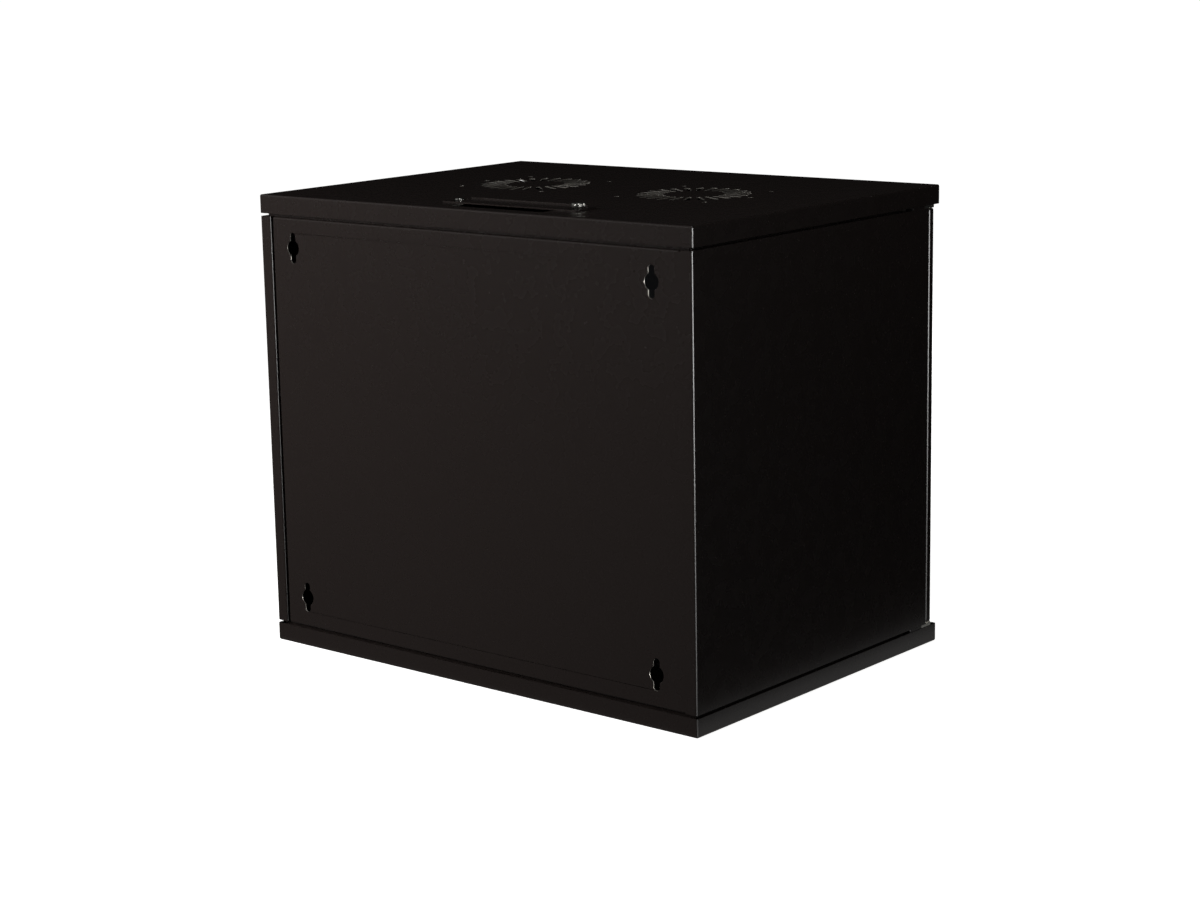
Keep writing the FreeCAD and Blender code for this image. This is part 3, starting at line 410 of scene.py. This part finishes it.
class CABINET_OT_plate_hardware(bpy.types.Operator):
    """Gives the hinges, screws, nuts, lock and earth point their metals, and the seals rubber"""
    bl_idname = "cabinet.plate_hardware"
    bl_label = "Plate Hardware"

    def execute(self, context):
        settings = context.scene.cabinet_finishes
        zinc = plated_steel("bright_zinc_plate", settings.zinc, 0.24, 3.0)
        for name in ZINC:
            merged_copy(name, (zinc,), HARDWARE_ROUND)
        coat = bpy.data.materials["satin_black_powder_coat"]
        # the plates' rear seats take the black coat as painted shade of the gap they lie in; their
        # front tongues stay bare zinc
        for name in ("hinge_plate_upper", "hinge_plate_lower"):
            merged_copy(name, (zinc, coat), HARDWARE_ROUND, in_painted_shade_seat, PAINTED_SHADE_FROM)
        wind_spring(zinc)
        nickel = plated_steel("polished_nickel_plate", linear("d2cfc8"), 0.14, 5.0)
        for name in ("lock_body", "lock_plug"):
            merged_copy(name, (nickel,), HARDWARE_ROUND)
        give("earth_stud", plated_steel("turned_brass", linear("c8a560"), 0.3, 2.0))
        rubber = moulded("black_epdm_rubber", linear("161616"), 0.75, 0.8)
        for name in ("glass_gasket", "door_buffers"):
            give(name, rubber)
        give("hinge_washer", moulded("natural_nylon", linear("dcd8cc"), 0.5, 1.0))
        return {"FINISHED"}


class CABINET_OT_glaze_door(bpy.types.Operator):
    """Gives the door its smoked glass"""
    bl_idname = "cabinet.glaze_door"
    bl_label = "Glaze Door"

    def execute(self, context):
        give("door_glass", smoked_glass("smoked_float_glass", context.scene.cabinet_finishes.glass))
        return {"FINISHED"}


# ---------------------------------------------------------------- operators: stage

def softbox(name, azimuth, elevation, distance, size, power, diffuse=True, glossy=True):
    """An area light that faces the cabinet's middle, in degrees, metres and watts.

    With glossy off it lights but isn't mirrored, as a polarised lamp is; with diffuse off it
    is only mirrored, as a dim but sharp reflector is."""
    data = bpy.data.lights.new(name, "AREA")
    data.shape = "RECTANGLE"
    data.size, data.size_y = size
    data.energy = power
    light = bpy.data.objects.new(name, data)
    a, e = math.radians(azimuth), math.radians(elevation)
    back = Vector((math.sin(a) * math.cos(e), -math.cos(a) * math.cos(e), math.sin(e)))
    light.location = CENTRE + back * distance
    light.visible_camera = False
    light.visible_diffuse = diffuse
    light.visible_glossy = glossy
    light.rotation_mode = "QUATERNION"
    light.rotation_quaternion = back.to_track_quat("Z", "Y")
    bpy.context.scene.collection.objects.link(light)


def seen_directly(tree, path):
    """1 for the eye, and a little for what shows through the dark glass."""
    through = add_node(tree, "ShaderNodeMath", {"operation": "MULTIPLY", 1: THROUGH_GLASS},
                       {0: path.outputs["Is Transmission Ray"]})
    either = add_node(tree, "ShaderNodeMath", {"operation": "MAXIMUM"},
                      {0: path.outputs["Is Camera Ray"], 1: through.outputs["Value"]})
    return either.outputs["Value"]


def outside_base(tree):
    """1 on the open floor, and 0 in the dark under the cabinet."""
    away = add_node(tree, "ShaderNodeVectorMath", {"operation": "ABSOLUTE"},
                    {0: object_point(tree)})
    shaded = (CAD_HIGH.x - RIM_SHADE, CAD_HIGH.y - RIM_SHADE, 0)
    over = add_node(tree, "ShaderNodeVectorMath", {"operation": "SUBTRACT", 1: shaded},
                    {0: away.outputs["Vector"]})
    parts = add_node(tree, "ShaderNodeSeparateXYZ", {}, {"Vector": over.outputs["Vector"]})
    beyond = add_node(tree, "ShaderNodeMath", {"operation": "MAXIMUM"},
                      {0: parts.outputs["X"], 1: parts.outputs["Y"]})
    bare = add_node(tree, "ShaderNodeMath", {"operation": "GREATER_THAN", 1: 0.0},
                    {0: beyond.outputs["Value"]})
    return bare.outputs["Value"]


def times(tree, a, b):
    """The product of two node outputs."""
    product = add_node(tree, "ShaderNodeMath", {"operation": "MULTIPLY"}, {0: a, 1: b})
    return product.outputs["Value"]


def mirrored_floor(tree, colour, path, bare):
    """The floor as polished and painted faces show it: dim boards, and the white paper sheet, whose
    glow is painted light.
    """
    split = add_node(tree, "ShaderNodeSeparateXYZ", {}, {"Vector": object_point(tree)})
    beside = add_node(tree, "ShaderNodeMapRange",
                      {"From Min": PAINTED_GLOW_EDGE[0], "From Max": PAINTED_GLOW_EDGE[1]},
                      {"Value": split.outputs["X"]})
    before = add_node(tree, "ShaderNodeMapRange",
                      {"From Min": CAD_HIGH.y - PAINTED_GLOW_BLUR, "From Max": CAD_HIGH.y + PAINTED_GLOW_BLUR,
                       "To Min": PAINTED_PAPER_GLOW, "To Max": 0.0}, {"Value": split.outputs["Y"]})
    paper = times(tree, beside.outputs["Result"], before.outputs["Result"])
    # the paper's glow is painted light: an emission that reflections and bounced light see, not a
    # lamp
    sheet = add_node(tree, "ShaderNodeEmission", {"Color": colour},
                     {"Strength": times(tree, paper, bare)})
    dim = add_node(tree, "ShaderNodeBsdfDiffuse", {"Color": DIM_BOARDS})
    polish = add_node(tree, "ShaderNodeBsdfGlossy", {"Color": POLISHED_BOARDS, "Roughness": 0.2})
    boards = add_node(tree, "ShaderNodeMixShader", {},
                      {0: path.outputs["Is Glossy Ray"], 1: dim.outputs[0], 2: polish.outputs[0]})
    both = add_node(tree, "ShaderNodeAddShader", {}, {0: boards.outputs[0], 1: sheet.outputs[0]})
    return both.outputs["Shader"]


def seen_floor(tree, colour, bare):
    """The floor as the eye sees it: white, brighter with distance, with the soft shadow."""
    matt = add_node(tree, "ShaderNodeBsdfDiffuse", {"Color": colour})
    reach = add_node(tree, "ShaderNodeVectorMath", {"operation": "LENGTH"},
                     {0: object_point(tree)})
    far = add_node(tree, "ShaderNodeMapRange",
                   {"From Min": 0.7, "From Max": 3.0, "To Min": 0.93, "To Max": 1.02},
                   {"Value": reach.outputs["Value"]})
    glow = add_node(tree, "ShaderNodeEmission", {"Color": colour},
                    {"Strength": times(tree, far.outputs["Result"], bare)})
    both = add_node(tree, "ShaderNodeAddShader", {}, {0: matt.outputs[0], 1: glow.outputs[0]})
    return both.outputs["Shader"]


def make_floor(colour):
    """A pale floor in one sheet, white to the eye, with the object's soft shadow.

    In polished and painted faces it shows as the darker floor of a large room, apart from the sheet
    of white paper that the cabinet stands on, whose glow is painted light that gives the bottom
    cover's -X side a painted reflection."""
    mesh = bpy.data.meshes.new("studio_floor")
    shape = bmesh.new()
    bmesh.ops.create_grid(shape, x_segments=1, y_segments=1, size=FLOOR_HALF)
    bmesh.ops.translate(shape, verts=shape.verts, vec=(0, 0, CAD_LOW.z - FLOOR_GAP))
    shape.to_mesh(mesh)
    shape.free()
    floor = bpy.data.objects.new("studio_floor", mesh)
    bpy.context.scene.collection.objects.link(floor)
    material, tree, output = new_material("pale_studio_floor")
    path = add_node(tree, "ShaderNodeLightPath")
    bare = outside_base(tree)
    surface = add_node(tree, "ShaderNodeMixShader", {},
                       {0: seen_directly(tree, path),
                        1: mirrored_floor(tree, colour, path, bare),
                        2: seen_floor(tree, colour, bare)})
    tree.links.new(surface.outputs["Shader"], output.inputs["Surface"])
    mesh.materials.append(material)


def light_world(azimuth, dark, light):
    """White to the eye, and for all else a room that is lighter on one side than the other."""
    world = bpy.data.worlds.new("studio_world")
    bpy.context.scene.world = world
    world.use_nodes = True
    tree = world.node_tree
    tree.nodes.clear()
    a = math.radians(azimuth)
    path = add_node(tree, "ShaderNodeLightPath")
    way = add_node(tree, "ShaderNodeTexCoord")
    side = add_node(tree, "ShaderNodeVectorMath",
                    {"operation": "DOT_PRODUCT", 1: (math.sin(a), -math.cos(a), 0.25)},
                    {0: way.outputs["Generated"]})
    room = add_node(tree, "ShaderNodeMapRange",
                    {"interpolation_type": "SMOOTHSTEP", "From Min": 0.35, "From Max": 1.05,
                     "To Min": dark, "To Max": light}, {"Value": side.outputs["Value"]})
    strength = add_node(tree, "ShaderNodeMix", {"B": 1.0},
                        {"Factor": seen_directly(tree, path), "A": room.outputs["Result"]})
    ground = add_node(tree, "ShaderNodeBackground", {"Color": (1, 1, 1, 1)},
                      {"Strength": strength.outputs["Result"]})
    output = add_node(tree, "ShaderNodeOutputWorld")
    tree.links.new(ground.outputs["Background"], output.inputs["Surface"])


def make_camera(stage):
    """The camera, turned about its own axis by the roll."""
    data = bpy.data.cameras.new("studio_camera")
    data.sensor_width = 36.0
    data.lens = stage.lens
    data.shift_x, data.shift_y = LENS_SHIFT
    data.clip_end = 100.0
    camera = bpy.data.objects.new("studio_camera", data)
    a, e, r = stage.azimuth, stage.elevation, stage.roll
    back = Vector((math.sin(a) * math.cos(e), -math.cos(a) * math.cos(e), math.sin(e)))
    level = Vector((0, 0, 1)).cross(back).normalized()
    upright = back.cross(level)
    right = level * math.cos(r) + upright * math.sin(r)
    up = upright * math.cos(r) - level * math.sin(r)
    turn = Matrix((right, up, back)).transposed()
    camera.matrix_world = Matrix.Translation(Vector(stage.eye)) @ turn.to_4x4()
    bpy.context.scene.collection.objects.link(camera)
    bpy.context.scene.camera = camera


class CABINET_OT_studio(bpy.types.Operator):
    """Makes the floor, the white surround, the softboxes and the camera"""
    bl_idname = "cabinet.studio"
    bl_label = "Studio"

    def execute(self, context):
        stage = context.scene.cabinet_stage
        make_floor(stage.floor_colour)
        light_world(azimuth=125.0, dark=0.003, light=0.25)
        softbox("key_softbox", 152.0, 21.0, 1.3, (0.8, 0.8), 11.6, glossy=False)
        softbox("edge_softbox", 247.0, -3.0, 1.5, (1.0, 0.66), 33.0, diffuse=False)
        softbox("fill_softbox", 256.0, 46.0, 1.1, (0.24, 0.24), 0.9)
        softbox("rim_softbox", 264.0, 20.0, 1.6, (0.9, 0.6), 1.2, glossy=False)
        softbox("catch_light", 228.0, 73.0, 1.3, (0.3, 0.3), 2.4, diffuse=False)
        softbox("front_softbox", 2.0, 12.0, 2.5, (0.9, 1.2), 20.0, glossy=False)
        softbox("front_strip", 12.0, 0.0, 2.3, (0.2, 0.9), 3.0, diffuse=False)
        context.scene.view_settings.view_transform = "Standard"
        make_camera(stage)
        return {"FINISHED"}


# ---------------------------------------------------------------- panel and registration

STEPS = (
    CABINET_OT_coat_sheet_metal,
    CABINET_OT_plate_hardware,
    CABINET_OT_glaze_door,
    CABINET_OT_studio,
)


class CABINET_PT_panel(bpy.types.Panel):
    """Lists the cabinet's settings and its making steps"""
    bl_idname = "CABINET_PT_panel"
    bl_label = "Network Cabinet"
    bl_space_type = "VIEW_3D"
    bl_region_type = "UI"
    bl_category = "Cabinet"

    def draw(self, context):
        for group in (context.scene.cabinet_finishes, context.scene.cabinet_stage):
            for name in group.bl_rna.properties.keys():
                if name not in ("rna_type", "name"):
                    self.layout.prop(group, name)
        for step in STEPS:
            self.layout.operator(step.bl_idname)


CLASSES = (CabinetFinishes, CabinetStage, *STEPS, CABINET_PT_panel)


def register():
    for cls in CLASSES:
        bpy.utils.register_class(cls)
    bpy.types.Scene.cabinet_finishes = bpy.props.PointerProperty(type=CabinetFinishes)
    bpy.types.Scene.cabinet_stage = bpy.props.PointerProperty(type=CabinetStage)


def unregister():
    del bpy.types.Scene.cabinet_stage
    del bpy.types.Scene.cabinet_finishes
    for cls in reversed(CLASSES):
        bpy.utils.unregister_class(cls)


def main():
    register()
    bpy.ops.cabinet.coat_sheet_metal()
    bpy.ops.cabinet.plate_hardware()
    bpy.ops.cabinet.glaze_door()
    bpy.ops.cabinet.studio()


if __name__ == "__main__":
    main()
